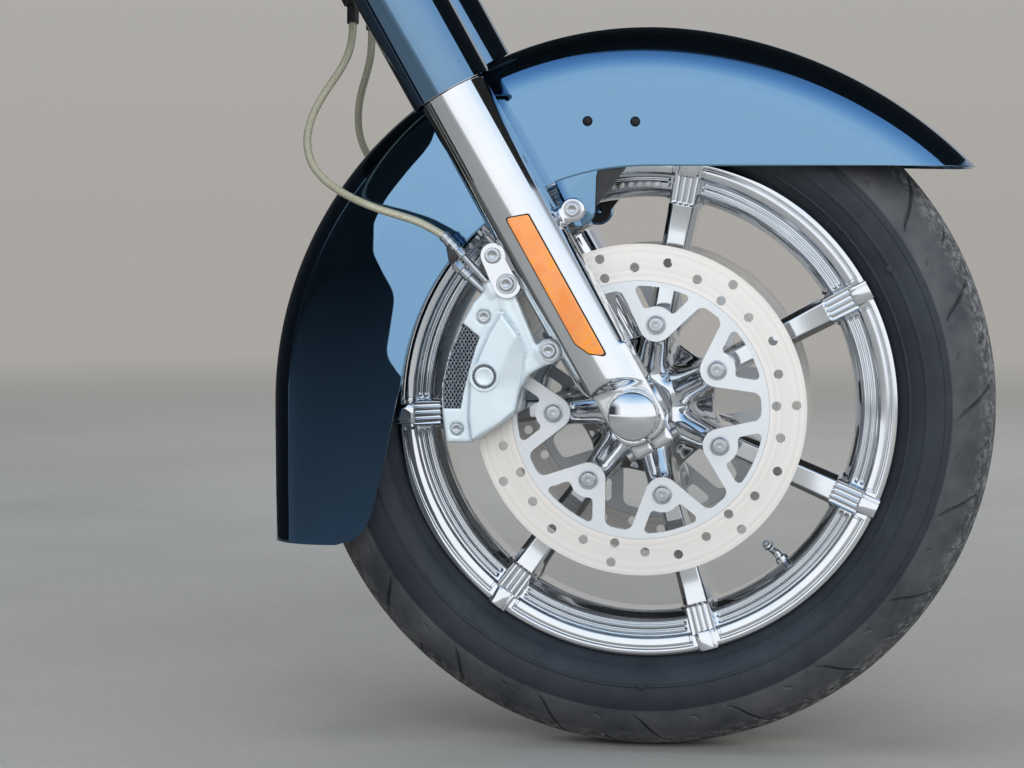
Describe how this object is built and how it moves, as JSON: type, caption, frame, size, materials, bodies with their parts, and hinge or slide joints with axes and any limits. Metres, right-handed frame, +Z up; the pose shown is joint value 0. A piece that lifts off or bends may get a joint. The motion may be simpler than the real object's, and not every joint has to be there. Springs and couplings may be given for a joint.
{
  "type": "motorcycle front end",
  "caption": "Front end of a touring cruiser motorcycle: steering head, telescopic fork, mudguard, cast wheel with tyre, drilled brake discs and calipers.",
  "frame": {"origin": "centre of the backbone socket's mouth, at the rear of the steering head", "axes": "+X forwards, +Y to the rider's left, +Z up"},
  "size_m": [0.7018, 0.339, 0.9684],
  "materials": {
    "wheel_chrome": "polished chrome plate",
    "bright_chrome": "polished chrome plate",
    "tyre": "matte rubber, dusty shoulders",
    "guard_paint": "deep navy gloss with clear coat",
    "cover_black": "gloss black",
    "clamp_black": "satin black",
    "frame_black": "gloss black",
    "bolt_black": "black oxide",
    "disc_steel": "turned steel, swept by the pads",
    "bolt_steel": "zinc-plated",
    "plain_steel": "ground",
    "caliper_silver": "satin silver paint",
    "mesh_black": "dark woven grille",
    "pad_dark": "rough friction lining",
    "amber_lens": "prismatic amber lens",
    "hose_braid": "clear sleeve over steel braid"
  },
  "bodies": {
    "head": {"steering_head": "frame_black"},
    "fork": {"axle": "plain_steel", "axle_cap_left": "bright_chrome", "axle_cap_right": "bright_chrome", "axle_spacers": "bright_chrome", "brake_hose_left": "hose_braid", "brake_hose_right": "hose_braid", "brake_pads_left": "pad_dark", "brake_pads_right": "pad_dark", "caliper_bolts_left": "bolt_steel", "caliper_bolts_right": "bolt_steel", "caliper_left": "caliper_silver", "caliper_mesh_left": "mesh_black", "caliper_mesh_right": "mesh_black", "caliper_right": "caliper_silver", "fork_cover_left": "cover_black", "fork_cover_right": "cover_black", "fork_tube_left": "plain_steel", "fork_tube_right": "plain_steel", "hose_end_left": "plain_steel", "hose_end_right": "plain_steel", "hose_junction": "clamp_black", "link_plate_left": "bright_chrome", "link_plate_right": "bright_chrome", "lower_clamp": "clamp_black", "mudguard": "guard_paint", "mudguard_bolts": "bolt_black", "mudguard_stays": "clamp_black", "pinch_bolts": "plain_steel", "reflector_left": "amber_lens", "reflector_right": "amber_lens", "slider_left": "bright_chrome", "slider_right": "bright_chrome", "steering_stem": "plain_steel", "stem_nut": "bright_chrome", "upper_clamp": "clamp_black"},
    "wheel": {"brake_disc_left": "disc_steel", "brake_disc_right": "disc_steel", "disc_bolts_left": "bolt_steel", "disc_bolts_right": "bolt_steel", "hub_bearings": "plain_steel", "tyre": "tyre", "valve_stem": "bright_chrome", "wheel": "wheel_chrome"}
  },
  "joints": [
    {"name": "steer", "type": "hinge", "parent": "head", "child": "fork", "pos_m": [0.135, 0, 0], "axis": [-0.4384, 0, 0.8988], "range_deg": [-30, 30]},
    {"name": "wheel_spin", "type": "hinge", "parent": "fork", "child": "wheel", "pos_m": [0.36925, 0, -0.5088], "axis": [0, 1, 0], "continuous": true}
  ]
}
